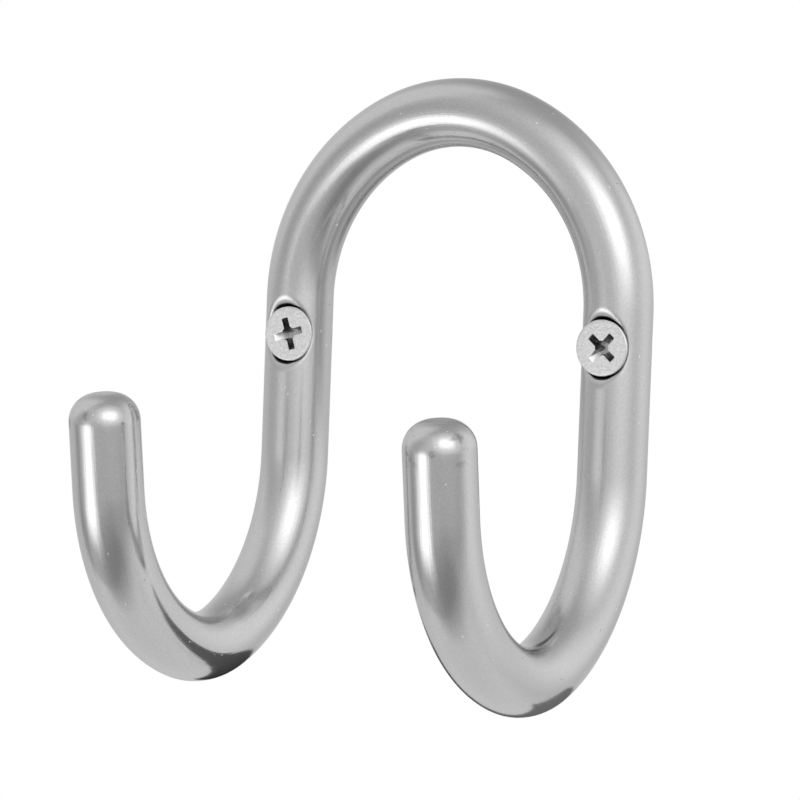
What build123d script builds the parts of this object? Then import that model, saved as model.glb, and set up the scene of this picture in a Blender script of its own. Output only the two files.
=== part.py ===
from build123d import *
from math import radians, sin, tan
import os

# A double coat hook, bent from one length of polished round bar and held to the wall by two
# countersunk wood screws. The bar rises over an arch between two legs. Each leg runs down the
# wall, sweeps out into an upturned hook and ends in a domed tip.
# Millimetres, with +X to the right, +Y into the wall and +Z up. The origin is on the wall,
# midway between the two screws.

# Bar
bar_diameter = 9.525
leg_spacing = 50.8

# Arch: a crown arc between two shoulder arcs that run straight into the legs
crown_radius = 23.0
crown_half_angle = 25.0
spring_height = 4.9  # the arch's foot above the screws
leg_length = 22.2  # straight bar from the arch's foot to the hook's bend

# Hook: three arcs from the wall to the tip, then a short straight end
wall_bend_radius = 26.65
wall_bend_angle = 68.5
low_bend_radius = 17.0
low_bend_angle = 39.7
tip_bend_radius = 27.1
tip_lean = 8.6  # degrees from upright, away from the wall
tip_length = {"left": 13.25, "right": 12.8}
tip_flat = 2.1  # the flat left in the middle of the dome

# Holes, countersunk from the front
hole_inset = {"left": 0.9, "right": 0.15}  # drilled this far inboard of each leg's centre line
hole_step = 0.49  # the right hole is drilled this much higher than the left
countersink_angle = 90.0  # wider than the head, which rests on the countersink's foot
head_sink = 0.33  # the screw's face lies this far behind the front of the bar
shank_clearance = 0.17
seat_gap = 0.02  # along the screw, between the head's cone and the countersink's foot
rim_rounding = 0.85  # polishing has rounded the mouth

# Number 8 wood screw, 1 inch long
head_diameter = 7.75
head_angle = 82.0
head_edge = 0.25  # the rim round the face
edge_break = 0.2
shank_diameter = 4.17
core_diameter = 3.1  # root of the thread
screw_length = 25.4
point_length = 4.2
runout_length = 1.6  # just in front of the wall, the shank narrows to the thread's root over this

# Cross recess in the screw's face
recess_across = 4.65
recess_depth = 2.2
recess_taper = 26.5
wing_width = 1.0
web_mouth = 2.0  # the round hollow where the four wings meet, at the face and at its foot
web_foot = 1.2
driver_turn = {"left": 18.0, "right": 49.0}  # anticlockwise, seen from the front

bar_radius = bar_diameter / 2
hole_spacing = leg_spacing - hole_inset["left"] - hole_inset["right"]
hole_x = {"left": -hole_spacing / 2, "right": hole_spacing / 2}
hole_z = {"left": -hole_step / 2, "right": hole_step / 2}
leg_x = {"left": hole_x["left"] - hole_inset["left"], "right": hole_x["right"] + hole_inset["right"]}
arch_middle = (leg_x["left"] + leg_x["right"]) / 2
grip = bar_diameter - head_sink  # from the screw's face to the wall
head_slope = tan(radians(head_angle / 2))
countersink_slope = tan(radians(countersink_angle / 2))


def arch_path():
    # the shoulders' radius is the one that brings them upright at the legs
    crown_sine = sin(radians(crown_half_angle))
    shoulder_radius = (leg_spacing / 2 - crown_radius * crown_sine) / (1 - crown_sine)
    shoulder_angle = 90 - crown_half_angle
    left = JernArc((-leg_spacing / 2, spring_height), (0, 1), shoulder_radius, -shoulder_angle)
    crown = JernArc(left @ 1, left % 1, crown_radius, -2 * crown_half_angle)
    right = JernArc(crown @ 1, crown % 1, shoulder_radius, -shoulder_angle)
    along_wall = Plane((arch_middle, -bar_radius, 0), x_dir=(1, 0, 0), z_dir=(0, -1, 0))
    return along_wall * Wire([left, crown, right])


def leg_path(side):
    # drawn with x away from the wall: down the leg, then forwards and up to the tip
    leg = Line((0, spring_height), (0, spring_height - leg_length))
    wall_bend = JernArc(leg @ 1, leg % 1, wall_bend_radius, wall_bend_angle)
    low_bend = JernArc(wall_bend @ 1, wall_bend % 1, low_bend_radius, low_bend_angle)
    tip_bend_angle = 180 - tip_lean - wall_bend_angle - low_bend_angle
    tip_bend = JernArc(low_bend @ 1, low_bend % 1, tip_bend_radius, tip_bend_angle)
    tip = PolarLine(tip_bend @ 1, tip_length[side], direction=tip_bend % 1)
    out_of_wall = Plane((leg_x[side], -bar_radius, 0), x_dir=(0, -1, 0), z_dir=(-1, 0, 0))
    return out_of_wall * Wire([leg, wall_bend, low_bend, tip_bend, tip])


def bar_along(path):
    section = Plane(path @ 0, z_dir=path % 0) * Circle(bar_radius)
    return sweep(section, path=path)


def leg_and_hook(side):
    path = leg_path(side)
    bar = bar_along(path)
    tip_edge = bar.edges().filter_by(GeomType.CIRCLE).sort_by_distance(path @ 1)[0]
    return fillet(tip_edge, (bar_diameter - tip_flat) / 2)


def screw_place(side):
    # a screw's own frame: z runs out of the wall from the middle of the head's face
    return Plane((hole_x[side], -grip, hole_z[side]), x_dir=(1, 0, 0), z_dir=(0, -1, 0))


def countersunk_hole():
    # a cone from the ring that the head rests on to past the front of the bar, and the shank's hole
    hole_radius = shank_diameter / 2 + shank_clearance
    foot_depth = head_edge + (head_diameter / 2 - hole_radius) / head_slope + seat_gap
    cone_height = foot_depth + head_sink + bar_radius
    mouth_radius = hole_radius + cone_height * countersink_slope
    cone = Pos(0, 0, cone_height / 2 - foot_depth) * Cone(hole_radius, mouth_radius, cone_height)
    shank_hole = Pos(0, 0, -grip / 2) * Cylinder(hole_radius, grip + bar_radius)
    return cone + shank_hole


def countersink_mouth(bar, side):
    # the closed edge where the countersink breaks out through the round of the bar
    cones = bar.faces().filter_by(GeomType.CONE)
    countersink = cones.sort_by_distance(screw_place(side).origin)[0]
    return countersink.edges().sort_by(SortBy.LENGTH)[-1]


def hook_rod():
    bar = leg_and_hook("left") + bar_along(arch_path()) + leg_and_hook("right")
    for side in hole_x:
        bar -= screw_place(side) * countersunk_hole()
    for side in hole_x:
        bar = bar.fillet(rim_rounding, [countersink_mouth(bar, side)])
    return bar


def screw_blank():
    # half the screw's outline, turned about its axis: face, rim, cone, shank, core and point
    neck = head_edge + (head_diameter - shank_diameter) / 2 / head_slope
    outline = Polyline(
        (0, 0),
        (head_diameter / 2 - edge_break, 0),
        (head_diameter / 2, -edge_break),
        (head_diameter / 2, -head_edge),
        (shank_diameter / 2, -neck),
        (shank_diameter / 2, runout_length - grip),
        (core_diameter / 2, -grip),
        (core_diameter / 2, point_length - screw_length),
        (0, -screw_length),
        close=True,
    )
    return revolve(Plane.XZ * make_face(outline), Axis.Z)


def cross_recess():
    # four tapered wings round a hollow web, sunk from the face
    wing_foot = recess_across / 2 - recess_depth * tan(radians(recess_taper))
    cross = Box(recess_across, wing_width, recess_depth) + Box(wing_width, recess_across, recess_depth)
    wings = cross & Cone(wing_foot, recess_across / 2, recess_depth)
    web = Cone(web_foot / 2, web_mouth / 2, recess_depth)
    return Pos(0, 0, -recess_depth / 2) * (wings + web)


def screw(side):
    blank = screw_blank() - Rot(0, 0, driver_turn[side]) * cross_recess()
    return screw_place(side) * blank


os.makedirs("parts", exist_ok=True)
export_step(hook_rod(), "parts/hook_rod.step")
for side in hole_x:
    export_step(screw(side), f"parts/screw_{side}.step")
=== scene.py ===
import math
import bmesh
import bpy
import numpy as np
from mathutils import Matrix, Vector


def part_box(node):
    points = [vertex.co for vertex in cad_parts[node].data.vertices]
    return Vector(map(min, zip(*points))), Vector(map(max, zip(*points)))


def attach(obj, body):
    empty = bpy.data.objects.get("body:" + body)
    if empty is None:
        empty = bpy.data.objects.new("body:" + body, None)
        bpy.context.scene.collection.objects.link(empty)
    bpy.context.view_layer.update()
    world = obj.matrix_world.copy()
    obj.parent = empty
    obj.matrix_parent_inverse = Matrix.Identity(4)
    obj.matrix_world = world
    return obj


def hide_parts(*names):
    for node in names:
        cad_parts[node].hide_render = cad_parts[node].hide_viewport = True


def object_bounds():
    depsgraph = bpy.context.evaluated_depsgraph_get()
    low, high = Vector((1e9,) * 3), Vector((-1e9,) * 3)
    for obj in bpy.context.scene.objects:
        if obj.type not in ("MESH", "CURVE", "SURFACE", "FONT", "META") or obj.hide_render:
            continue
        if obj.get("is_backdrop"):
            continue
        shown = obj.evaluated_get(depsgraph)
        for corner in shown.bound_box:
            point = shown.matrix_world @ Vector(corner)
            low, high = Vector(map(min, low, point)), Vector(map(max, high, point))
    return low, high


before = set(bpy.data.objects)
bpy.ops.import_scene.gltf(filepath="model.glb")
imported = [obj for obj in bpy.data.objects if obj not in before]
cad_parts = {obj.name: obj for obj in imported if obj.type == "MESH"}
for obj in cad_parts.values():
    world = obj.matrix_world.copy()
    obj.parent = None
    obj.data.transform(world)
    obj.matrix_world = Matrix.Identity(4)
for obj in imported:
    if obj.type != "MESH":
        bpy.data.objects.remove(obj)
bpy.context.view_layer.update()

# A double coat hook of polished round bar, with two cross recess wood screws.
# Lengths in the dictionaries are millimetres. +Y goes into the wall, which is at y = 0.

toMetres = 0.001
mergeWithin = 0.002  # mm between points that are taken as one
noiseSpan = {"From Min": 0.3, "From Max": 0.7}  # nearly all of a noise's values lie between these


# sRGB hex to linear: the usual curve, a straight foot and a 2.4 power above it
def linearColour(hexCode):
    parts = [int(hexCode[i:i + 2], 16) / 255 for i in (1, 3, 5)]
    return [p / 12.92 if p <= 0.04045 else ((p + 0.055) / 1.055) ** 2.4 for p in parts] + [1.0]


# adds a node, sets its fields, and fills or links its inputs by name or number
def addNode(tree, kind, inputs=None, **fields):
    made = tree.nodes.new(kind)
    for name, value in fields.items():
        setattr(made, name, value)
    for name, value in (inputs or {}).items():
        if isinstance(value, bpy.types.NodeSocket):
            tree.links.new(value, made.inputs[name])
        else:
            made.inputs[name].default_value = value
    return made


# an empty material and its node tree
def newMaterial(name):
    material = bpy.data.materials.new(name)
    material.use_nodes = True
    material.node_tree.nodes.clear()
    return material, material.node_tree


# a grid's quads: each cell joins a row to the next, and the last column joins the first
def gridQuads(rows, columns):
    row, column = np.meshgrid(np.arange(rows - 1), np.arange(columns), indexing="ij")
    here, below = row * columns, (row + 1) * columns
    after = (column + 1) % columns
    return np.stack([here + column, here + after, below + after, below + column], axis=-1)


# Several grids of points in millimetres become one closed mesh, with their shared edges merged. Three more
# columns after the point's own, if there are any, are its place on the bar before it was bent. Edges that
# turn by more than sharpAngle degrees stay sharp.
def meshFromGrids(name, grids, material, sharpAngle):
    points, quads, start = [], [], 0
    for gridPoints, cells in grids:
        points.append(gridPoints.reshape(-1, gridPoints.shape[-1]))
        quads.append(cells.reshape(-1, 4) + start)
        start += len(points[-1])
    mesh = bpy.data.meshes.new(name)
    columns = np.concatenate(points) * toMetres
    mesh.from_pydata(columns[:, :3].tolist(), [], np.concatenate(quads).tolist())
    if columns.shape[1] > 3:
        unbent = mesh.attributes.new("unbent", "FLOAT_VECTOR", "POINT")
        unbent.data.foreach_set("vector", columns[:, 3:].ravel())
    tidy = bmesh.new()
    tidy.from_mesh(mesh)
    bmesh.ops.remove_doubles(tidy, verts=tidy.verts, dist=mergeWithin * toMetres)
    bmesh.ops.recalc_face_normals(tidy, faces=tidy.faces)
    tidy.to_mesh(mesh)
    tidy.free()
    mesh.shade_smooth()
    mesh.set_sharp_from_angle(angle=math.radians(sharpAngle))
    mesh.materials.append(material)
    piece = bpy.data.objects.new(name, mesh)
    bpy.context.scene.collection.objects.link(piece)
    openEdges = np.count_nonzero(facesPerEdge(mesh) != 2)
    print(f"{name}: {len(mesh.polygons)} faces, {openEdges} edges not shared by two faces")
    return piece


# how many faces share each edge: the loops that run along it, counted
def facesPerEdge(mesh):
    counts = np.zeros(len(mesh.edges), int)
    loopEdges = np.zeros(len(mesh.loops), np.int32)
    mesh.loops.foreach_get("edge_index", loopEdges)
    np.add.at(counts, loopEdges, 1)
    return counts


# stores one number at each point, worked out from the points' places in millimetres
def markPoints(piece, name, valueAt):
    flat = np.zeros(len(piece.data.vertices) * 3)
    piece.data.vertices.foreach_get("co", flat)
    values = valueAt(flat.reshape(-1, 3) / toMetres)
    piece.data.attributes.new(name, "FLOAT", "POINT").data.foreach_set("value", values)


# 0 below low, 1 above high, and 3t^2 - 2t^3 between them
def easeStep(value, low, high):
    t = np.clip((value - low) / (high - low), 0, 1)
    return t * t * (3 - 2 * t)


bar = {
    "diameter": 9.525,
    "legSpacing": 50.8,
    "crownRadius": 23.0,
    "crownHalfAngle": 25.0,
    "springHeight": 4.9,  # the arch's foot above the screws
    "legLength": 22.2,
    "wallBend": (26.65, 68.5),  # radius and angle of each of the hook's arcs
    "lowBend": (17.0, 39.7),
    "tipBend": (27.1, 63.2),
    "tipLength": {"left": 13.25, "right": 12.8},
    "tipFlat": 2.1,  # across the flat in the middle of the dome
    "around": 160,  # points round the section
    "ringSpacing": 0.78,  # mm between the rings of points along it
    "domeRings": 22,
    "flatRings": 4,
    "sharpAngle": 34,
}

holes = {
    "inset": {"left": 0.9, "right": 0.15},  # from each leg's middle line, towards the other leg
    "radius": 2.255,  # for the screw's shank
    "footDepth": 2.134,  # from the screw's face in to where the countersink meets that hole
    "slope": 1.0,  # 90 degrees in all, a little wider than the screw's head
    "rim": 2.15,  # the mouth's rounding
    "patchReach": 6.4,  # the part of each leg that is drawn round its hole
    "patchRows": 32,
    "patchTurn": 32,  # the same, in steps round the section
    "frontRings": 44,
    "boreRings": 6,
    "backRings": 16,
    "backCrowding": 1.5,  # above 1 the back's rings stand closer together away from the hole
}

barRadius = bar["diameter"] / 2
screwBoxes = {
    side: [np.array(corner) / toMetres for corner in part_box("screw_" + side)]
    for side in ("left", "right")
}
holeX = {side: (low[0] + high[0]) / 2 for side, (low, high) in screwBoxes.items()}
holeZ = {side: (low[2] + high[2]) / 2 for side, (low, high) in screwBoxes.items()}
faceY = screwBoxes["left"][0][1]


# The place and heading at each station of a flat line of runs and arcs, each (length, turn). The heading
# grows evenly along each piece.
def walkLine(pieces, firstHeading, stations):
    lengths, turns = np.array(pieces, float).T
    starts = np.concatenate([[0.0], np.cumsum(lengths)])
    headings = firstHeading + np.concatenate([[0.0], np.cumsum(turns)])

    # a piece's chord: length * sinc(turn / 2), towards its mean heading
    def shift(heading, turn, length):
        middle = heading + turn / 2
        reach = length * np.sinc(turn / 2 / np.pi)
        return np.stack([reach * np.sin(middle), reach * np.cos(middle)], axis=-1)

    shifts = shift(headings[:-1], turns, lengths)
    corners = np.concatenate([np.zeros((1, 2)), np.cumsum(shifts, axis=0)])
    stations = np.clip(stations, 0, starts[-1])
    at = np.clip(np.searchsorted(starts, stations, "right") - 1, 0, len(lengths) - 1)
    part = stations - starts[at]
    turned = turns[at] * part / lengths[at]
    return corners[at] + shift(headings[at], turned, part), headings[at] + turned


# the shoulders' radius is the one that brings the arch upright at the legs
crownAngle = math.radians(bar["crownHalfAngle"])
shoulderAngle = math.pi / 2 - crownAngle
crownSine = math.sin(crownAngle)
shoulderRadius = (bar["legSpacing"] / 2 - bar["crownRadius"] * crownSine) / (1 - crownSine)
archPieces = [
    (bar["crownRadius"] * crownAngle, crownAngle),
    (shoulderRadius * shoulderAngle, shoulderAngle),
]
hookBends = (bar["wallBend"], bar["lowBend"], bar["tipBend"])
legAndBends = [(bar["legLength"], 0.0)]
legAndBends += [(r * math.radians(a), math.radians(a)) for r, a in hookBends]
hookPieces = {side: legAndBends + [(length, 0.0)] for side, length in bar["tipLength"].items()}
archLength = sum(length for length, turn in archPieces)
barLength = {
    side: archLength + sum(length for length, turn in pieces)
    for side, pieces in hookPieces.items()
}
holeStation = archLength + bar["springHeight"]
archFoot = walkLine(archPieces, math.pi / 2, np.array([archLength]))[0][0]
crownHeight = bar["springHeight"] - archFoot[1]
legX = {
    "left": holeX["left"] - holes["inset"]["left"],
    "right": holeX["right"] + holes["inset"]["right"],
}
archMiddle = (legX["left"] + legX["right"]) / 2


# The bar's surface: a circle carried along the middle line. The station is the length along the line from
# the crown, and turn goes round the section from the front, towards the outside of the arch. The same place
# on the straight bar before it was bent follows in three more columns.
def barSurface(side, station, turn, radius=barRadius):
    flat, arch = walkLine(archPieces, math.pi / 2, station)
    out, hook = walkLine(hookPieces[side], 0.0, station - archLength)
    zero = np.zeros_like(station)
    height = crownHeight + flat[..., 1] - out[..., 1]
    middle = np.stack([flat[..., 0], -barRadius - out[..., 0], height], axis=-1)
    outward = np.stack([-np.cos(arch), zero, np.sin(arch)], axis=-1)
    forward = np.stack([zero, -np.cos(hook), np.sin(hook)], axis=-1)
    turn, radius = np.asarray(turn)[..., None], np.asarray(radius)[..., None]
    points = middle + radius * (outward * np.sin(turn) + forward * np.cos(turn))
    points[..., 0] = archMiddle + (points[..., 0] if side == "right" else -points[..., 0])
    along = station[..., None] * (1 if side == "right" else -1) + 0 * turn
    sideways, front = radius * np.sin(turn) + 0 * along, radius * np.cos(turn) + 0 * along
    return np.concatenate([points, sideways, front, along], axis=-1)


# The countersink: each point keeps its place across the bar and goes in to the deeper of the bar's own front
# and the cone. The two meet in a round of one radius, drawn on the cone's depth below the front:
# radius - sqrt(radius^2 - (depth + foot)^2), between -foot and the place where its slope is the cone's.
def sinkFront(points, side):
    fromAxis = np.hypot(points[..., 0] - holeX[side], points[..., 2] - holeZ[side])
    cone = faceY + holes["footDepth"] - (fromAxis - holes["radius"]) / holes["slope"]
    below = cone - points[..., 1]
    rim, foot = holes["rim"], holes["rim"] * math.tan(math.pi / 8)
    roundWidth = rim * math.sin(math.pi / 4)
    inRound = np.clip(below + foot, 0, roundWidth)
    rounded = rim - np.sqrt(rim ** 2 - inRound ** 2)
    points[..., 1] += np.where(below > roundWidth - foot, below, rounded)
    return points


# One grid round a hole: from a rectangle on the front of the bar in to the bore, through it, and out to the
# same rectangle on the back.
def holePatch(side):
    outset = -holes["inset"][side]  # outwards from the leg's middle
    n, m = holes["patchTurn"], holes["patchRows"]
    stepTurn = 2 * np.pi / bar["around"]
    across = np.arange(-n, n) * stepTurn
    along = (np.arange(m) / m * 2 - 1) * holes["patchReach"]
    edgeTurn = np.concatenate([across, np.full(m, n * stepTurn), -across, np.full(m, -n * stepTurn)])
    edgeAlong = np.concatenate([np.full(2 * n, along[0]), along, np.full(2 * n, -along[0]), -along])
    direction = np.arctan2(edgeAlong + holeZ[side], barRadius * np.sin(edgeTurn) - outset)
    circleTurn = np.arcsin((outset + holes["radius"] * np.cos(direction)) / barRadius)
    circleAlong = holes["radius"] * np.sin(direction) - holeZ[side]

    # straight lines in station and turn: (1 - share) * rectangle + share * circle
    def rows(share, turnEdge, turnCircle):
        share = share[:, None]
        turns = turnEdge * (1 - share) + turnCircle * share
        stations = holeStation + edgeAlong * (1 - share) + circleAlong * share
        return barSurface(side, stations, turns)

    inwards = np.linspace(0, 1, holes["frontRings"])
    outwards = np.linspace(1, 0, holes["backRings"]) ** holes["backCrowding"]
    through = np.linspace(0, 1, holes["boreRings"] + 2)[1:-1, None, None]
    front = sinkFront(rows(inwards, edgeTurn, circleTurn), side)
    back = rows(outwards, np.pi - edgeTurn, np.pi - circleTurn)
    bore = front[-1] * (1 - through) + back[0] * through
    points = np.concatenate([front, bore, back])
    return points, gridQuads(*points.shape[:2])


# The plain tube with its domed tip, less the two rectangles of the hole's patch. The radius is the bar's as
# far as the dome, then flat / 2 + dome * cos(angle), and goes to 0 across the tip's flat.
def halfBar(side):
    reach, flat = holes["patchReach"], bar["tipFlat"] / 2
    dome = barRadius - flat
    domeStart = barLength[side] - dome
    rowsAbove = int((holeStation - reach) / bar["ringSpacing"])
    rowsBelow = int((domeStart - holeStation - reach) / bar["ringSpacing"])
    upper = np.linspace(0, holeStation - reach, rowsAbove + 1)[:-1]
    patch = holeStation + np.linspace(-reach, reach, holes["patchRows"] + 1)
    lower = np.linspace(holeStation + reach, domeStart, rowsBelow + 1)[1:-1]
    plain = np.concatenate([upper, patch, lower])
    angle = np.linspace(0, np.pi / 2, bar["domeRings"])
    cap = np.linspace(flat, 0, bar["flatRings"] + 1)[1:]
    stations = np.concatenate([plain, domeStart + dome * np.sin(angle), np.full(len(cap), barLength[side])])
    radii = np.concatenate([np.full(len(plain), barRadius), flat + dome * np.cos(angle), cap])
    turns = np.arange(bar["around"]) / bar["around"] * 2 * np.pi
    everyStation = np.repeat(stations[:, None], len(turns), 1)
    everyTurn = np.tile(turns, (len(stations), 1))
    points = barSurface(side, everyStation, everyTurn, radii[:, None])
    quads = gridQuads(*points.shape[:2])
    # a cell is left out where its middle lies in the patch, at the front or at the back
    middle = (stations[:-1] + stations[1:]) / 2
    middleTurn = (np.arange(bar["around"]) + 0.5) * 2 * np.pi / bar["around"]
    inRows = np.abs(middle - holeStation) < reach
    offFront = np.abs((middleTurn + np.pi) % (2 * np.pi) - np.pi)
    limit = holes["patchTurn"] * 2 * np.pi / bar["around"]
    inColumns = (offFront < limit) | (offFront > np.pi - limit)
    return points, quads[~(inRows[:, None] & inColumns[None, :])]


polish = {
    "colour": ("#D2D2D2", "#D9D9D9"),  # the darkest and palest grain
    "grain": 0.3,  # mm across one grain, which is really much finer
    "roughness": (0.11, 0.16),
    "cloud": 5.0,  # mm across one cloud of the buffing haze
    "legRough": 0.115,  # more on the legs, which the wheel reaches less well behind the hooks
    # mm of depth and of height over which that duller part comes and goes
    "legZone": {"depth": (-24, -15), "foot": (-41, -33), "top": (3, 13)},
    "waveHeight": 0.05,  # mm, left by the bending
    "waveLength": 8.0,
    # mm wide and long: the lines that the wheel leaves along the bar. The real ones are mostly too fine to
    # show, so these are drawn as coarse as the coarsest.
    "streak": (0.2, 5.0),
    "streakDepth": 0.011,
    "pitSpacing": 3.4,  # mm between places where a pit may be
    "pitRadius": 0.11,
    "dustSpacing": 1.2,
    "dustRadius": 0.08,
    "dustLength": 3.0,  # times as long as it is wide
    "dotCore": 0.6,  # the share of a pit's or a speck's radius that is full
    "smudge": 2.0,  # mm across the smudges where the tips were ground round
    "smudgeFrom": (0.59, 0.7),  # the noise at which a smudge starts and is full
    "smudgeDark": 0.42,
    "shoulder": (2.0, 4.0, 6.0, 7.8),  # mm from the tip's middle: smudges start, are full, fade and end
    "gapShade": "#2A2A2A",  # painted shade in the gap round the screw, down in the countersink
    "gapShadeWidth": (0.03, 0.115),  # mm past the cone, where it is full and where it ends
    "gapShadeDepth": 0.12,  # mm behind the screw's face, over which it begins
}


# Stainless steel bar, bent and polished on a buffing wheel: a near mirror with a faint cloudy haze and a
# slight wobble, duller and grainier on the legs, with a few dark pits, specks of dust, smudges on the tips'
# shoulders, and painted shade in the countersinks, in the gap round each screw.
def polishedStainless():
    material, tree = newMaterial("polishedStainless")
    p = polish
    place = addNode(tree, "ShaderNodeTexCoord").outputs["Object"]
    unbent = addNode(tree, "ShaderNodeAttribute", attribute_name="unbent").outputs["Vector"]
    behindHook = addNode(tree, "ShaderNodeAttribute", attribute_name="behindHook").outputs["Fac"]
    shoulder = addNode(tree, "ShaderNodeAttribute", attribute_name="shoulder").outputs["Fac"]
    noises = ((p["cloud"], 5.0), (p["waveLength"], 1.0), (p["grain"], 1.0), (p["smudge"], 3.0))
    haze, rise, grain, blot = [
        addNode(tree, "ShaderNodeTexNoise", {
            "Vector": place, "Scale": 1 / (size * toMetres), "Detail": detail,
        }).outputs["Fac"]
        for size, detail in noises
    ]

    # the same place with the distance along the bar made shorter, so that a pattern on it is drawn out
    lineOut, dustOut = [
        addNode(tree, "ShaderNodeMapping", {"Vector": unbent, "Scale": (1, 1, 1 / longer)}).outputs[0]
        for longer in (p["streak"][1] / p["streak"][0], p["dustLength"])
    ]
    line = addNode(tree, "ShaderNodeTexNoise", {
        "Vector": lineOut, "Scale": 1 / (p["streak"][0] * toMetres), "Detail": 2.0,
    }).outputs["Fac"]

    # dots where the nearest of some scattered places lies within a radius
    dots = (
        (place, p["pitSpacing"], p["pitRadius"]),
        (dustOut, p["dustSpacing"], p["dustRadius"]),
    )
    pits, dust = [
        addNode(tree, "ShaderNodeMapRange", {
            "Value": addNode(tree, "ShaderNodeTexVoronoi", {
                "Vector": where, "Scale": 1 / (spacing * toMetres),
            }).outputs["Distance"],
            "From Min": radius / spacing,
            "From Max": radius / spacing * p["dotCore"],
        }).outputs[0]
        for where, spacing, radius in dots
    ]

    cloudy = addNode(tree, "ShaderNodeMapRange", {
        "Value": haze, **noiseSpan, "To Min": p["roughness"][0], "To Max": p["roughness"][1],
    }).outputs[0]
    roughness = addNode(tree, "ShaderNodeMath", {
        0: behindHook, 1: p["legRough"], 2: cloudy,
    }, operation="MULTIPLY_ADD").outputs[0]
    wave = addNode(tree, "ShaderNodeBump", {
        "Height": rise, "Strength": 1.0, "Distance": p["waveHeight"] * toMetres,
    }).outputs["Normal"]
    bump = addNode(tree, "ShaderNodeBump", {
        "Height": line, "Strength": 1.0, "Distance": p["streakDepth"] * toMetres, "Normal": wave,
    }).outputs["Normal"]
    blots = addNode(tree, "ShaderNodeMapRange", {
        "Value": blot,
        "From Min": p["smudgeFrom"][0],
        "From Max": p["smudgeFrom"][1],
        "To Max": p["smudgeDark"],
    }).outputs[0]
    smudges = addNode(tree, "ShaderNodeMath", {0: blots, 1: shoulder}, operation="MULTIPLY").outputs[0]

    # painted shade on the countersink's wall behind the screw's face, where the distance to the nearer
    # screw's axis and the depth add up to no more than they do where the cone meets the face
    flat = addNode(tree, "ShaderNodeVectorMath", {0: place, 1: (1, 0, 1)}, operation="MULTIPLY").outputs[0]
    away = [
        addNode(tree, "ShaderNodeVectorMath", {
            0: flat, 1: (holeX[side] * toMetres, 0, holeZ[side] * toMetres),
        }, operation="DISTANCE").outputs["Value"]
        for side in legX
    ]
    nearer = addNode(tree, "ShaderNodeMath", {0: away[0], 1: away[1]}, operation="MINIMUM").outputs[0]
    inwards = addNode(tree, "ShaderNodeSeparateXYZ", {0: place}).outputs[1]
    deep = addNode(tree, "ShaderNodeMath", {0: inwards, 1: faceY * toMetres}, operation="SUBTRACT").outputs[0]
    together = addNode(tree, "ShaderNodeMath", {0: nearer, 1: deep}, operation="ADD").outputs[0]
    full, end = [(holes["radius"] + holes["footDepth"] + past) * toMetres for past in p["gapShadeWidth"]]
    onCone = addNode(tree, "ShaderNodeMapRange", {
        "Value": together, "From Min": end, "From Max": full,
    }).outputs[0]
    inHole = addNode(tree, "ShaderNodeMapRange", {
        "Value": deep, "From Min": 0.0, "From Max": p["gapShadeDepth"] * toMetres,
    }).outputs[0]
    dark = addNode(tree, "ShaderNodeMath", {0: onCone, 1: inHole}, operation="MULTIPLY").outputs[0]
    for other in (pits, smudges):
        dark = addNode(tree, "ShaderNodeMath", {0: dark, 1: other}, operation="MAXIMUM").outputs[0]

    fine = addNode(tree, "ShaderNodeMapRange", {"Value": grain, **noiseSpan}).outputs[0]
    clean = addNode(tree, "ShaderNodeMix", {
        0: fine, 6: linearColour(p["colour"][0]), 7: linearColour(p["colour"][1]),
    }, data_type="RGBA").outputs[2]
    # the painted shade in the countersink, the pits and the tips' smudges, over the clean grain
    colour = addNode(tree, "ShaderNodeMix", {
        0: dark, 6: clean, 7: linearColour(p["gapShade"]),
    }, data_type="RGBA").outputs[2]
    metal = addNode(tree, "ShaderNodeMath", {0: 1.0, 1: dust}, operation="SUBTRACT").outputs[0]
    shader = addNode(tree, "ShaderNodeBsdfPrincipled", {
        "Base Color": colour, "Metallic": metal, "Roughness": roughness, "Normal": bump,
    })
    addNode(tree, "ShaderNodeOutputMaterial", {"Surface": shader.outputs["BSDF"]})
    return material


# 1 round the shoulder of each domed tip, 0 elsewhere: the distance from the tip's middle, eased in and out
def shoulderAt(points):
    start, full, fade, end = polish["shoulder"]
    shoulder = np.zeros(len(points))
    for side in legX:
        tip = barSurface(side, np.array([barLength[side]]), 0.0, 0.0)[0, :3]
        away = np.linalg.norm(points - tip, axis=1)
        shoulder += easeStep(away, start, full) * easeStep(-away, -end, -fade)
    return shoulder


# 1 on the legs and the hooks' rising side near the wall, 0 elsewhere: how near the wall a point is, times how
# far it is below the arch and above the hook's lowest part
def behindHookAt(points):
    zone, height = polish["legZone"], points[:, 2]
    belowArch = easeStep(-height, -zone["top"][1], -zone["top"][0])
    return easeStep(points[:, 1], *zone["depth"]) * belowArch * easeStep(height, *zone["foot"])


steel = polishedStainless()
print("bar: middle line", round(sum(barLength.values()), 1), "mm long")
barGrids = [grid for side in legX for grid in (halfBar(side), holePatch(side))]
rod = meshFromGrids("hookRod", barGrids, steel, bar["sharpAngle"])
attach(rod, "root")
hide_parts("hook_rod")
markPoints(rod, "shoulder", shoulderAt)
markPoints(rod, "behindHook", behindHookAt)


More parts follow.
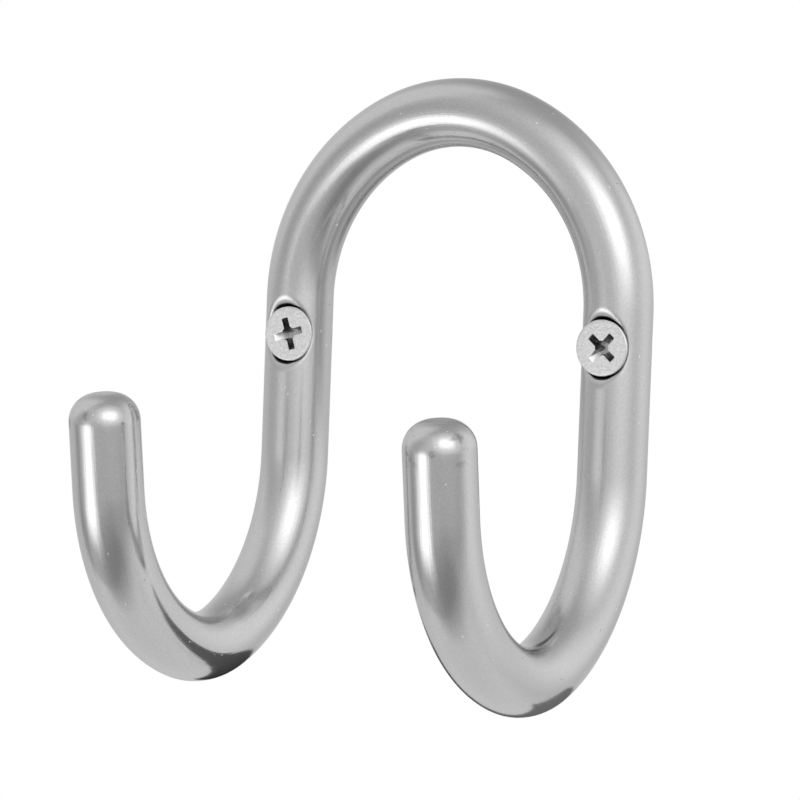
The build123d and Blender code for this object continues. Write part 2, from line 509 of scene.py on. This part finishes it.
screws = {
    "turn": {"left": 18.0, "right": 49.0},
    "headRadius": 3.875,
    "headEdge": 0.25,
    "edgeBreak": 0.2,
    "slope": math.tan(math.radians(41)),
    "shankRadius": 2.085,
    "coreRadius": 1.55,
    "grip": 9.195,
    "runout": 1.6,  # in front of the wall the shank narrows to the thread's root
    "length": 25.4,
    "pointLength": 4.2,
    "pitch": 1.69,
    "ridge": 0.28,  # half the ridge's width, in pitches
    "fadeIn": 1.2,  # mm over which the thread starts
    "crest": (1.25, 0.8),  # factor and power with which its crest falls along the point
    "recessReach": 2.325,
    "recessDepth": 2.2,
    "recessTaper": math.tan(math.radians(26.5)),
    "hollow": (1.2, 1.1),  # how deep the recess's coned bottom is, in depths: in its middle, and half way out
    "wingHalf": 0.5,
    "web": (1.0, 0.6),  # radius of the round hollow between the wings, at the face and at the bottom
    "lip": 0.06,  # the recess's edge is a little rounded
    "around": 288,
    "recessRings": 12,
    "roundRings": 4,
    "faceRings": 9,
    "shankRings": 5,
    "threadStep": 0.12,  # mm between the rings along the thread
    "sharpAngle": 28,
}


# The outline of the cross at a depth: a wing's side is wingHalf / sin(angle), cut off outside by the
# taper's circle and filled inside by the web's circle. All three grow by the same amount.
def crossOutline(depth, angle, grow=0.0):
    s = screws
    offAxis = np.abs((angle + np.pi / 4) % (np.pi / 2) - np.pi / 4)
    reach = s["recessReach"] - depth * s["recessTaper"] + grow
    web = s["web"][0] + (s["web"][1] - s["web"][0]) * depth / s["recessDepth"] + grow
    side = (s["wingHalf"] + grow) / np.maximum(np.sin(offAxis), 1e-6)
    return np.minimum(reach, np.maximum(side, web))


# One grid for a whole screw, as (radius, depth) rings: up the recess, over the face, round the rim and down
# the cone, the shank and the thread to the point. Depth is measured in from the face.
def screwRings():
    s = screws
    angle = np.arange(s["around"]) / s["around"] * 2 * np.pi
    quarter = np.linspace(0, np.pi / 2, s["roundRings"] + 1)[1:]
    bottom = crossOutline(s["recessDepth"], angle)
    rings = [(0.0, s["recessDepth"] * s["hollow"][0]), (bottom * 0.5, s["recessDepth"] * s["hollow"][1])]
    for depth in np.linspace(s["recessDepth"], s["lip"], s["recessRings"]):
        rings.append((crossOutline(depth, angle), depth))
    for a in quarter:
        depth = s["lip"] * (1 - math.sin(a))
        rings.append((crossOutline(depth, angle, s["lip"] * (1 - math.cos(a))), depth))
    mouth, rim = rings[-1][0], s["headRadius"] - s["edgeBreak"]
    for share in np.linspace(0, 1, s["faceRings"] + 1)[1:]:
        rings.append((mouth * (1 - share) + rim * share, 0.0))
    for a in quarter:
        rings.append((rim + s["edgeBreak"] * math.sin(a), s["edgeBreak"] * (1 - math.cos(a))))
    neck = s["headEdge"] + (s["headRadius"] - s["shankRadius"]) / s["slope"]
    shankEnd = s["grip"] - s["runout"]
    rings += [(s["headRadius"], s["headEdge"]), (s["shankRadius"], neck)]
    for depth in np.linspace(neck, shankEnd, s["shankRings"] + 1)[1:]:
        rings.append((s["shankRadius"], depth))
    # the thread: a ridge that rises to the shank's size once each pitch, and turns with the angle
    threadDepth = s["shankRadius"] - s["coreRadius"]
    for depth in np.arange(shankEnd + s["threadStep"], s["length"] - s["threadStep"], s["threadStep"]):
        toPoint = np.clip((s["length"] - depth) / s["pointLength"], 0, 1)
        core = s["coreRadius"] * toPoint
        crest = s["shankRadius"] * np.clip(toPoint * s["crest"][0], 0, 1) ** s["crest"][1]
        phase = (depth / s["pitch"] + angle / (2 * np.pi)) % 1
        ridge = np.clip(1 - np.abs(phase - 0.5) / s["ridge"], 0, 1)
        fadeIn = np.clip((depth - s["grip"]) / s["fadeIn"], 0, 1)
        neckIn = s["coreRadius"] + threadDepth * np.clip((s["grip"] - depth) / s["runout"], 0, 1)
        rings.append(((core + (crest - core) * ridge) * fadeIn + (1 - fadeIn) * neckIn, depth))
    rings.append((0.0, s["length"]))
    radii, depths = [np.array([part + 0 * angle for part in parts]) for parts in zip(*rings)]
    return radii, depths, angle


finish = {
    "face": ("#E2E2E2", "#FAFAFA"),
    "speck": 0.3,  # mm across one speck of the face
    "speckHeight": 0.04,
    "faceRough": (0.34, 0.46),  # roughness of the darkest and palest specks
    # painted shade: the recess's walls and the head's side, darker than the face, in random patches
    "recess": ("#7C7C7C", "#A8A8A8"),
    "recessRough": 0.36,
    "patch": 0.9,  # mm across the light and dark patches in the recess
    "patchFrom": (0.45, 0.6),  # the noise at which a patch starts and is full
    "paintedHighlight": ("#FFFFFF", 0.6, 0.0),  # a painted highlight on a wing's end and the hollow: colour, roughness and metallic share
    "highlightBearing": (180, 250),  # degrees anticlockwise from the right: the wing that points down to the left, facing the key light
    "hollowRadius": 1.0,  # of the coned hollow below the recess's bottom
    "recessMouth": (0.03, 0.12),  # mm behind the face, over which the painted shade on the recess's walls comes in
    "recessEnd": 2.7,  # mm behind the face, past every point of the recess
    "headSide": (0.12, 0.22, 2.2, 2.5),  # mm behind the face: the painted shade on the head's side starts, is full, fades and ends
}


# Stainless wood screw: a turned head with a pale satin face, speckled by the tumbling drum, over a cross
# recess and a head's side that are both painted darker as shade, in random patches, and a painted highlight,
# pale and matt, on the end of the wing that faces the key light and in the hollow in the recess's middle.
def satinScrewSteel():
    material, tree = newMaterial("satinScrewSteel")
    f = finish
    place = addNode(tree, "ShaderNodeTexCoord").outputs["Object"]
    # the two attributes mark the painted shade in the recess and on the head's side, and the painted
    # highlight
    inside = addNode(tree, "ShaderNodeAttribute", attribute_name="inside").outputs["Fac"]
    paintedHighlight = addNode(tree, "ShaderNodeAttribute", attribute_name="paintedHighlight").outputs["Fac"]
    grain, patch = [
        addNode(tree, "ShaderNodeTexNoise", {
            "Vector": place, "Scale": 1 / (size * toMetres), "Detail": 2.0,
        }).outputs["Fac"]
        for size in (f["speck"], f["patch"])
    ]
    patchShare = addNode(tree, "ShaderNodeMapRange", {
        "Value": patch, "From Min": f["patchFrom"][0], "From Max": f["patchFrom"][1],
    }).outputs[0]
    speckShare = addNode(tree, "ShaderNodeMapRange", {"Value": grain, **noiseSpan}).outputs[0]

    # colour: the face and the shaded recess each have two tones, and the painted highlight lies over both
    dark, pale = [
        addNode(tree, "ShaderNodeMix", {
            0: share, 6: linearColour(shades[0]), 7: linearColour(shades[1]),
        }, data_type="RGBA").outputs[2]
        for share, shades in ((patchShare, f["recess"]), (speckShare, f["face"]))
    ]
    whole = addNode(tree, "ShaderNodeMix", {0: inside, 6: pale, 7: dark}, data_type="RGBA").outputs[2]
    colour = addNode(tree, "ShaderNodeMix", {
        0: paintedHighlight, 6: whole, 7: linearColour(f["paintedHighlight"][0]),
    }, data_type="RGBA").outputs[2]

    satin = addNode(tree, "ShaderNodeMapRange", {
        "Value": grain, **noiseSpan, "To Min": f["faceRough"][0], "To Max": f["faceRough"][1],
    }).outputs[0]
    smooth = addNode(tree, "ShaderNodeMix", {0: inside, 2: satin, 3: f["recessRough"]}).outputs[0]
    roughness = addNode(tree, "ShaderNodeMix", {0: paintedHighlight, 2: smooth, 3: f["paintedHighlight"][1]}).outputs[0]
    metal = addNode(tree, "ShaderNodeMix", {0: paintedHighlight, 2: 1.0, 3: f["paintedHighlight"][2]}).outputs[0]
    bump = addNode(tree, "ShaderNodeBump", {
        "Height": grain, "Strength": 1.0, "Distance": f["speckHeight"] * toMetres,
    }).outputs["Normal"]
    shader = addNode(tree, "ShaderNodeBsdfPrincipled", {
        "Base Color": colour, "Metallic": metal, "Roughness": roughness, "Normal": bump,
    })
    addNode(tree, "ShaderNodeOutputMaterial", {"Surface": shader.outputs["BSDF"]})
    return material


# a screw's points as places across and up from its axis, distance from it, and depth behind its face
def fromFace(points):
    across, up = [points[:, i] - (points[:, i].min() + points[:, i].max()) / 2 for i in (0, 2)]
    return across, up, np.hypot(across, up), points[:, 1] - faceY


# where shade is painted: 1 on the recess's walls and the head's side, 0 on the face, the shank and the
# thread:
# the depth, eased
def shadedInsideAt(points):
    across, up, away, depth = fromFace(points)
    slack = 0.02  # mm
    inRecess = away < screws["recessReach"] - depth * screws["recessTaper"] + slack
    start, full, fade, end = finish["headSide"]
    headSide = easeStep(depth, start, full) * easeStep(-depth, -end, -fade)
    walls = easeStep(depth, *finish["recessMouth"])
    return np.where(inRecess & (depth < finish["recessEnd"]), walls, headSide)


# where the highlight is painted: 1 on the end of the wing that faces the key light, whose points lie on the
# taper's cone, and in the hollow in the recess's middle
def paintedHighlightAt(points):
    across, up, away, depth = fromFace(points)
    slack = 0.01  # mm
    onTaper = np.abs(away - screws["recessReach"] + depth * screws["recessTaper"]) < slack
    bearing = np.degrees(np.arctan2(up, across)) % 360
    oneWing = (bearing > finish["highlightBearing"][0]) & (bearing < finish["highlightBearing"][1])
    belowBottom = (depth > screws["recessDepth"] + slack) & (depth < finish["recessEnd"])
    hollow = belowBottom & (away < finish["hollowRadius"])
    return ((onTaper & oneWing & (depth > 2 * slack)) | hollow).astype(float)


screwSteel = satinScrewSteel()
holeSpacing = round(holeX["right"] - holeX["left"], 2)
print("screws: heads", round(screws["headRadius"] * 2, 2), "mm across, holes", holeSpacing, "mm apart")
radius, depth, angle = screwRings()
for side in legX:
    spun = angle + math.radians(screws["turn"][side])
    across, up = holeX[side] + radius * np.cos(spun), holeZ[side] + radius * np.sin(spun)
    screwGrid = (np.stack([across, depth + faceY, up], axis=-1), gridQuads(*radius.shape))
    screw = meshFromGrids("woodScrew" + side.capitalize(), [screwGrid], screwSteel, screws["sharpAngle"])
    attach(screw, "root")
    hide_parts("screw_" + side)
    # the painted shade of the recess and the head's side, and the painted highlight on one wing and the
    # hollow
    markPoints(screw, "inside", shadedInsideAt)
    markPoints(screw, "paintedHighlight", paintedHighlightAt)


# a unit direction from a bearing, 0 in front of the hook and 90 to its right, and a height, in degrees
def directionOf(bearing, height):
    b, h = math.radians(bearing), math.radians(height)
    return Vector((math.sin(b) * math.cos(h), -math.cos(b) * math.cos(h), math.sin(h)))


studio = {
    # height, from -1 straight down to 1 straight up, and how bright the room is there
    "room": [
        (-1.0, 0.70), (-0.75, 0.735), (-0.4, 0.63), (-0.1, 0.60),
        (0.1, 0.675), (0.4, 0.685), (0.75, 0.63), (1.0, 0.495),
    ],
    # beyond the front edge of the pale table the room is darker: the edge's bearing, how steeply it lies
    # below, its softness, the height where the dark ends and over how much, and the dark's two shades, with
    # how far below level the first one gives way to the second
    "beyondTable": {
        "bearing": -5.7, "slope": 2.14, "soft": 0.03, "top": -0.139, "topSoft": 0.405,
        "shades": (0.52, 0.36), "fade": 0.69,
    },
    # bearing, height, width and height in degrees, brightness, soft share of the radius, spin, boxiness
    "soft": {
        "leftWall": (-75.6, 40.8, 104.3, 66.3, 0.75, 0.59, -70.0, 2.1),
        "frontRoom": (-46.0, 10.5, 94.3, 59.7, 0.48, 1.00, 44.3, 4.8),
        "backRight": (139.0, 14.5, 129.2, 81.4, 0.88, 1.00, 45.2, 7.2),
        "backLeft": (-166.0, 48.4, 86.2, 108.8, 0.41, 1.00, 11.7, 2.0),
        "shadeCore": (34.9, -46.5, 111.5, 61.5, 0.28, 0.98, 30.1, 5.8),
        "rightShade": (72.0, -20.6, 97.2, 25.9, 0.43, 1.00, 16.3, 3.0),
        "leftStrip": (-70.5, -21.7, 25.3, 49.2, 0.36, 0.91, -7.9, 3.1),
        "keyGlow": (49.9, 28.0, 106.1, 101.3, 1.07, 0.98, -65.8, 2.1),
        "keyLight": (50.2, 29.3, 69.1, 55.4, 1.80, 1.00, -4.7, 2.6),
        "lowLight": (-22.0, -23.5, 33.4, 58.7, 1.07, 1.00, 12.0, 6.1),
        "lowLightLeft": (-28.8, -24.2, 60.0, 39.8, 1.81, 1.00, 0.3, 2.1),
    },
}

# the room: white to the camera, and to the steel a grey that changes from floor to ceiling, with the dark
# beyond the table and soft lights and shades laid over it
world = bpy.data.worlds.new("studioRoom")
bpy.context.scene.world = world
world.use_nodes = True
sky = world.node_tree
sky.nodes.clear()
direction = addNode(sky, "ShaderNodeTexCoord").outputs["Generated"]
heightOf = addNode(sky, "ShaderNodeSeparateXYZ", {0: direction}).outputs[2]
stretch = addNode(sky, "ShaderNodeMapRange", {"Value": heightOf, "From Min": -1.0, "From Max": 1.0})
ramp = addNode(sky, "ShaderNodeValToRGB", {0: stretch.outputs[0]})
while len(ramp.color_ramp.elements) < len(studio["room"]):
    ramp.color_ramp.elements.new(0.5)
for element, (high, grey) in zip(ramp.color_ramp.elements, studio["room"]):
    element.position = (high + 1) / 2
    element.color = (grey, grey, grey, 1)


# the dark beyond the table's edge, which is a plane through the hook: the direction's height over that
# plane, eased over soft, times its own height, eased down from top
def beyondTable(behind, bearing, slope, soft, top, topSoft, shades, fade):
    over = (directionOf(bearing, 0) * slope + Vector((0, 0, 1))).normalized()
    past = addNode(sky, "ShaderNodeVectorMath", {0: direction, 1: over}, operation="DOT_PRODUCT")
    eases = (
        (past.outputs["Value"], 0.0, soft),
        (heightOf, top, top - topSoft),
        (heightOf, -fade, 0.0),
    )
    overEdge, underTop, toLevel = [
        addNode(sky, "ShaderNodeMapRange", {
            "Value": value, "From Min": low, "From Max": high,
        }, interpolation_type="SMOOTHSTEP").outputs[0]
        for value, low, high in eases
    ]
    cover = addNode(sky, "ShaderNodeMath", {0: overEdge, 1: underTop}, operation="MULTIPLY").outputs[0]
    shade = addNode(sky, "ShaderNodeMix", {0: toLevel, 2: shades[0], 3: shades[1]}).outputs[0]
    return addNode(sky, "ShaderNodeMix", {0: cover, 2: behind, 3: shade}).outputs[0]


# a soft light or shade laid over what is behind it: radius = (|u|^n + |v|^n)^(1/n), where u and v are the
# direction's two side parts over its forward part, eased from 1 in to 1 - soft
def softSpot(behind, bearing, height, wide, tall, brightness, soft, spin, boxiness):
    leastAhead, mostAside = 0.001, 8.0  # these keep what is behind the spot out of it
    out = directionOf(bearing, height)
    flat = Vector((0, 0, 1)).cross(out).normalized()
    upward = out.cross(flat)
    turn = math.radians(spin)
    side = (flat * math.cos(turn) + upward * math.sin(turn)) / math.tan(math.radians(wide / 2))
    top = (upward * math.cos(turn) - flat * math.sin(turn)) / math.tan(math.radians(tall / 2))
    ahead, *parts = [
        addNode(sky, "ShaderNodeVectorMath", {
            0: direction, 1: axis,
        }, operation="DOT_PRODUCT").outputs["Value"]
        for axis in (out, side, top)
    ]
    ahead = addNode(sky, "ShaderNodeMath", {0: ahead, 1: leastAhead}, operation="MAXIMUM").outputs[0]
    steps = (("DIVIDE", ahead), ("ABSOLUTE", 0.0), ("MINIMUM", mostAside), ("POWER", boxiness))
    for operation, second in steps:
        parts = [
            addNode(sky, "ShaderNodeMath", {0: part, 1: second}, operation=operation).outputs[0]
            for part in parts
        ]
    total = addNode(sky, "ShaderNodeMath", {0: parts[0], 1: parts[1]}, operation="ADD").outputs[0]
    radius = addNode(sky, "ShaderNodeMath", {0: total, 1: 1 / boxiness}, operation="POWER").outputs[0]
    cover = addNode(sky, "ShaderNodeMapRange", {
        "Value": radius, "From Min": 1.0, "From Max": 1.0 - soft,
    }, interpolation_type="SMOOTHSTEP").outputs[0]
    return addNode(sky, "ShaderNodeMix", {0: cover, 2: behind, 3: brightness}).outputs[0]


roomLight = beyondTable(ramp.outputs[0], **studio["beyondTable"])
for values in studio["soft"].values():
    roomLight = softSpot(roomLight, *values)
isCamera = addNode(sky, "ShaderNodeLightPath").outputs["Is Camera Ray"]
seen = addNode(sky, "ShaderNodeMix", {0: isCamera, 2: roomLight, 3: 1.0}).outputs[0]
background = addNode(sky, "ShaderNodeBackground", {"Color": seen, "Strength": 1.0})
addNode(sky, "ShaderNodeOutputWorld", {"Surface": background.outputs[0]})


backdrop = {
    "wallReach": 1.5,  # metres to each side and up
    "floorReach": 3.0,
    "floorHeight": -0.3,
    "floorColour": "#F2F2F0",
    "floorLift": 0.1,  # added to the floor for camera rays only
}


# a flat stage object with this mesh and paint
def stageObject(name, mesh, paint):
    mesh.materials.append(paint)
    placed = bpy.data.objects.new(name, mesh)
    bpy.context.scene.collection.objects.link(placed)
    placed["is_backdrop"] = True
    return placed


# one flat face through four corners, in metres
def plainPlane(name, corners, paint):
    mesh = bpy.data.meshes.new(name)
    mesh.from_pydata(corners, [], [(0, 1, 2, 3)])
    return stageObject(name, mesh, paint)


# the wall: white from the front, and clear from behind so that the hook's back can be seen
wallPaint, tree = newMaterial("whiteWall")
fromBehind = addNode(tree, "ShaderNodeNewGeometry").outputs["Backfacing"]
white = addNode(tree, "ShaderNodeEmission", {"Color": (1, 1, 1, 1), "Strength": 1.0})
clear = addNode(tree, "ShaderNodeBsdfTransparent")
mix = addNode(tree, "ShaderNodeMixShader", {0: fromBehind, 1: white.outputs[0], 2: clear.outputs[0]})
addNode(tree, "ShaderNodeOutputMaterial", {"Surface": mix.outputs[0]})
wide, ground = backdrop["wallReach"], backdrop["floorHeight"]
wallCorners = [(-wide, 0.0, ground), (wide, 0.0, ground), (wide, 0.0, wide), (-wide, 0.0, wide)]
wall = plainPlane("wall", wallCorners, wallPaint)
wall.visible_diffuse = wall.visible_glossy = wall.visible_shadow = wall.visible_transmission = False


# ends a material that shows this shade where the cover is 1, and is clear where it is 0
def coverPaint(tree, cover, shade):
    clear = addNode(tree, "ShaderNodeBsdfTransparent")
    glow = addNode(tree, "ShaderNodeEmission", {"Color": shade})
    mix = addNode(tree, "ShaderNodeMixShader", {0: cover, 1: clear.outputs[0], 2: glow.outputs[0]})
    addNode(tree, "ShaderNodeOutputMaterial", {"Surface": mix.outputs[0]})


# hides a stage object from everything but the steel's reflections
def onlySteelSees(thing):
    thing.visible_camera = thing.visible_diffuse = thing.visible_shadow = thing.visible_transmission = False


cards = {
    # left, right, bottom and top in metres, brightness at the left and right end, soft share
    "cardBelow": (-0.040, 0.038, -0.072, -0.052, (0.02, 0.20), 0.02),
    # painted shadow: the bar's shade on the wall between the legs
    "shadeBetweenLegs": (-0.024, 0.014, -0.022, 0.028, (0.35, 0.35), 1.0),
}


# A dark card on the wall's plane, as the things that the steel reflects there: the dark below the hooks, and
# the bar's shadow on the wall between the legs, painted as a card. Its shade goes evenly from the left end to
# the right, and its cover is eased from 0 at the edge to 1 at 1 - soft of the way out.
def darkCard(name, left, right, low, high, shades, soft):
    paint, tree = newMaterial(name)
    place = addNode(tree, "ShaderNodeTexCoord").outputs["Object"]
    parts = addNode(tree, "ShaderNodeSeparateXYZ", {0: place}).outputs
    along = addNode(tree, "ShaderNodeMapRange", {
        "Value": parts[0], "From Min": left, "From Max": right,
    }).outputs[0]
    shade = addNode(tree, "ShaderNodeMix", {0: along, 2: shades[0], 3: shades[1]}).outputs[0]
    # how far out a point is, from 0 in the middle to 1 at the nearest edge
    spread = [
        addNode(tree, "ShaderNodeMapRange", {
            "Value": part, "From Min": start, "From Max": end, "To Min": -1.0, "To Max": 1.0,
        }).outputs[0]
        for part, start, end in ((parts[0], left, right), (parts[2], low, high))
    ]
    sizes = [addNode(tree, "ShaderNodeMath", {0: part}, operation="ABSOLUTE").outputs[0] for part in spread]
    outness = addNode(tree, "ShaderNodeMath", {0: sizes[0], 1: sizes[1]}, operation="MAXIMUM").outputs[0]
    cover = addNode(tree, "ShaderNodeMapRange", {
        "Value": outness, "From Min": 1.0, "From Max": 1.0 - soft,
    }, interpolation_type="SMOOTHSTEP").outputs[0]
    coverPaint(tree, cover, shade)
    corners = [(left, 0.0, low), (right, 0.0, low), (right, 0.0, high), (left, 0.0, high)]
    onlySteelSees(plainPlane(name, corners, paint))


for name, values in cards.items():
    darkCard(name, *values)

contact = {
    "shade": 0.09,
    "reach": (5.5, 7.5, 8.5, 12.5),  # mm in from the bar's middle line: starts, is full, fades and ends
    "ends": {"left": (-12.0, -2.0), "right": (26.0, 38.0)},  # mm past the arch's foot, over which it ends
    "steps": (80, 16),  # along the bar and away from it
}


# The dark that the bar throws on the wall between the legs, as the steel sees it: a strip on the wall inside
# the bar's middle line, whose cover is eased in and out with the distance from that line, and out past the
# arch's foot.
def contactShade(side):
    rows, columns = contact["steps"]
    start, full, fade, end = contact["reach"]
    stations = np.linspace(0, archLength + contact["ends"][side][1], rows)
    inwards = np.linspace(start, end, columns)
    everyStation = np.repeat(stations[:, None], columns, 1)
    towardsInside = np.full((rows, columns), -np.pi / 2)
    place = barSurface(side, everyStation, towardsInside, np.tile(inwards, (rows, 1)))[..., :3]
    place[..., 1] = 0.0
    cover = easeStep(inwards[None, :], start, full) * (1 - easeStep(inwards[None, :], fade, end))
    cover = cover * (1 - easeStep((stations - archLength)[:, None], *contact["ends"][side]))
    cells = gridQuads(rows, columns)[:, :-1]  # the strip's two long edges aren't joined
    name = "contactShade" + side.capitalize()
    mesh = bpy.data.meshes.new(name)
    mesh.from_pydata((place.reshape(-1, 3) * toMetres).tolist(), [], cells.reshape(-1, 4).tolist())
    mesh.attributes.new("cover", "FLOAT", "POINT").data.foreach_set("value", cover.ravel())
    paint, tree = newMaterial(name)
    share = addNode(tree, "ShaderNodeAttribute", attribute_name="cover").outputs["Fac"]
    coverPaint(tree, share, [contact["shade"]] * 3 + [1.0])
    onlySteelSees(stageObject(name, mesh, paint))


for side in legX:
    contactShade(side)

floorPaint, tree = newMaterial("paleFloor")
paint = addNode(tree, "ShaderNodeBsdfDiffuse", {"Color": linearColour(backdrop["floorColour"])})
isCamera = addNode(tree, "ShaderNodeLightPath").outputs["Is Camera Ray"]
lift = addNode(tree, "ShaderNodeMath", {
    0: isCamera, 1: backdrop["floorLift"],
}, operation="MULTIPLY").outputs[0]
glow = addNode(tree, "ShaderNodeEmission", {"Color": (1, 1, 1, 1), "Strength": lift})
both = addNode(tree, "ShaderNodeAddShader", {0: paint.outputs[0], 1: glow.outputs[0]})
addNode(tree, "ShaderNodeOutputMaterial", {"Surface": both.outputs[0]})
wide = backdrop["floorReach"]
floorCorners = [(-wide, -wide, ground), (wide, -wide, ground), (wide, wide, ground), (-wide, wide, ground)]
floor = plainPlane("floor", floorCorners, floorPaint)
floor.visible_glossy = floor.visible_shadow = False

# a soft lamp from the key light's side for the matt places: the floor, the dust and the painted highlight in
# the recess. It has no highlight in the steel, which reflects the room's own lights.
lamp = {"bearing": 60.0, "height": 30.0, "strength": 1.3, "angle": 20.0}

sun = bpy.data.objects.new("softLamp", bpy.data.lights.new("softLamp", "SUN"))
bpy.context.scene.collection.objects.link(sun)
sun.data.energy, sun.data.angle = lamp["strength"], math.radians(lamp["angle"])
sun.rotation_euler = directionOf(lamp["bearing"], lamp["height"]).to_track_quat("Z", "Y").to_euler()
sun.visible_glossy = False
print("studio: floor, wall, lamp and", len(studio["soft"]), "soft lights and shades")

camera = {
    "azimuth": 30.004,  # degrees
    "elevation": 2.952,
    "roll": 2.113,
    "distance": 0.53383,  # metres, as the target is
    "target": (-0.006655, -0.008389, -0.008635),
    "lens": 172.24,  # mm, on a sensor of this width
    "sensor": 36,
    "clip": (0.01, 20),  # metres
}

print("camera:", camera["lens"], "mm lens at", round(camera["distance"] * 1000), "mm")
view = bpy.data.objects.new("camera", bpy.data.cameras.new("camera"))
bpy.context.scene.collection.objects.link(view)
bpy.context.scene.camera = view
view.data.lens, view.data.sensor_width = camera["lens"], camera["sensor"]
view.data.clip_start, view.data.clip_end = camera["clip"]
backward = directionOf(camera["azimuth"], camera["elevation"])
azimuth, roll = math.radians(camera["azimuth"]), math.radians(camera["roll"])
level = Vector((math.cos(azimuth), math.sin(azimuth), 0))
up = backward.cross(level)
sideways = level * math.cos(roll) + up * math.sin(roll)
upright = up * math.cos(roll) - level * math.sin(roll)
turned = Matrix((sideways, upright, backward)).transposed().to_4x4()
standing = Vector(camera["target"]) + backward * camera["distance"]
view.matrix_world = Matrix.Translation(standing) @ turned

bpy.context.scene.view_settings.view_transform = "Standard"

low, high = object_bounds()
print("size: visual", [round(v * 1000, 2) for v in (*low, *high)])
